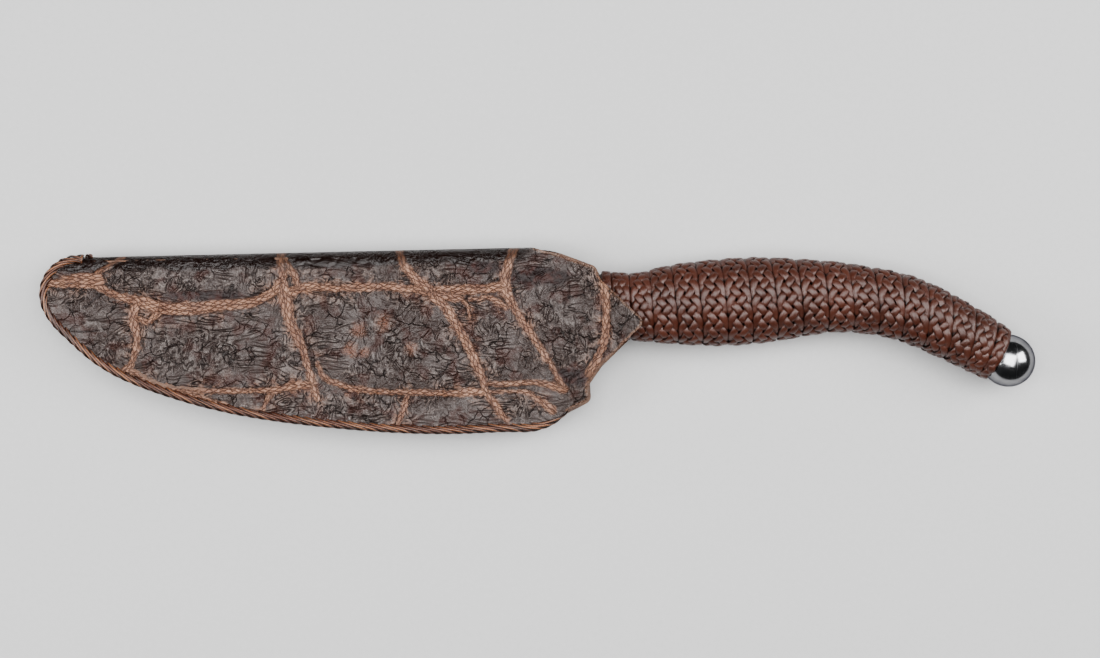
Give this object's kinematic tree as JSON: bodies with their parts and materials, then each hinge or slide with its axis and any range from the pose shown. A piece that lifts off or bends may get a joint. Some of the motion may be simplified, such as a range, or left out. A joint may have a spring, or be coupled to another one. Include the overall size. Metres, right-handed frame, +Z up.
{
  "type": "sheathed fixed-blade knife",
  "caption": "Fixed-blade knife with a plaited leather grip and a steel ball on its end, in a folded crocodile-leather sheath with a laced rim and a belt loop.",
  "frame": {"origin": "middle of the whole object's outline, on the surface it lies on", "axes": "+X along the knife towards its ball, +Y from the cutting edge towards the spine, +Z up out of the sheath's front face"},
  "size_m": [0.3012, 0.0564, 0.0222],
  "materials": {
    "skin_leather": "dark purplish brown crocodile skin with scales and tan creases, satin",
    "liner_leather": "plain brown vegetable-tanned leather, darkened at its cut edges",
    "lace_leather": "red-brown lace, worn lighter on its crests",
    "plait_leather": "red-brown flat strands, waxed, worn lighter on their crests",
    "strap_leather": "thick dark brown strap leather, smooth",
    "thread": "waxed linen thread",
    "blade_steel": "satin ground steel",
    "ball_steel": "polished bearing steel with small scuffs",
    "core_wood": "plain hardwood, hidden",
    "pin_brass": "plain rod, hidden"
  },
  "bodies": {
    "sheath": {"sheath_skin": "skin_leather", "sheath_liner": "liner_leather", "welt": "liner_leather", "edge_lace": "lace_leather", "lace_knot": "lace_leather", "belt_loop": "strap_leather", "loop_stitching": "thread"},
    "knife": {"blade": "blade_steel", "front_washer": "liner_leather", "core_front": "core_wood", "core_back": "core_wood", "core_pins": "pin_brass", "grip_underlay": "liner_leather", "ring_knot_01": "plait_leather", "ring_knot_02": "plait_leather", "ring_knot_03": "plait_leather", "ring_knot_04": "plait_leather", "ring_knot_05": "plait_leather", "ring_knot_06": "plait_leather", "ring_knot_07": "plait_leather", "ring_knot_08": "plait_leather", "ring_knot_09": "plait_leather", "ring_knot_10": "plait_leather", "ring_knot_11": "plait_leather", "ring_knot_12": "plait_leather", "ring_knot_13": "plait_leather", "ring_knot_14": "plait_leather", "ring_knot_15": "plait_leather", "ring_knot_16": "plait_leather", "ring_knot_17": "plait_leather", "ring_knot_18": "plait_leather", "pommel_seat": "blade_steel", "pommel_ball": "ball_steel"}
  },
  "joints": [
    {"name": "knife_draw", "type": "slide", "parent": "sheath", "child": "knife", "axis": [1, 0, 0], "range_m": [0, 0.185]}
  ]
}
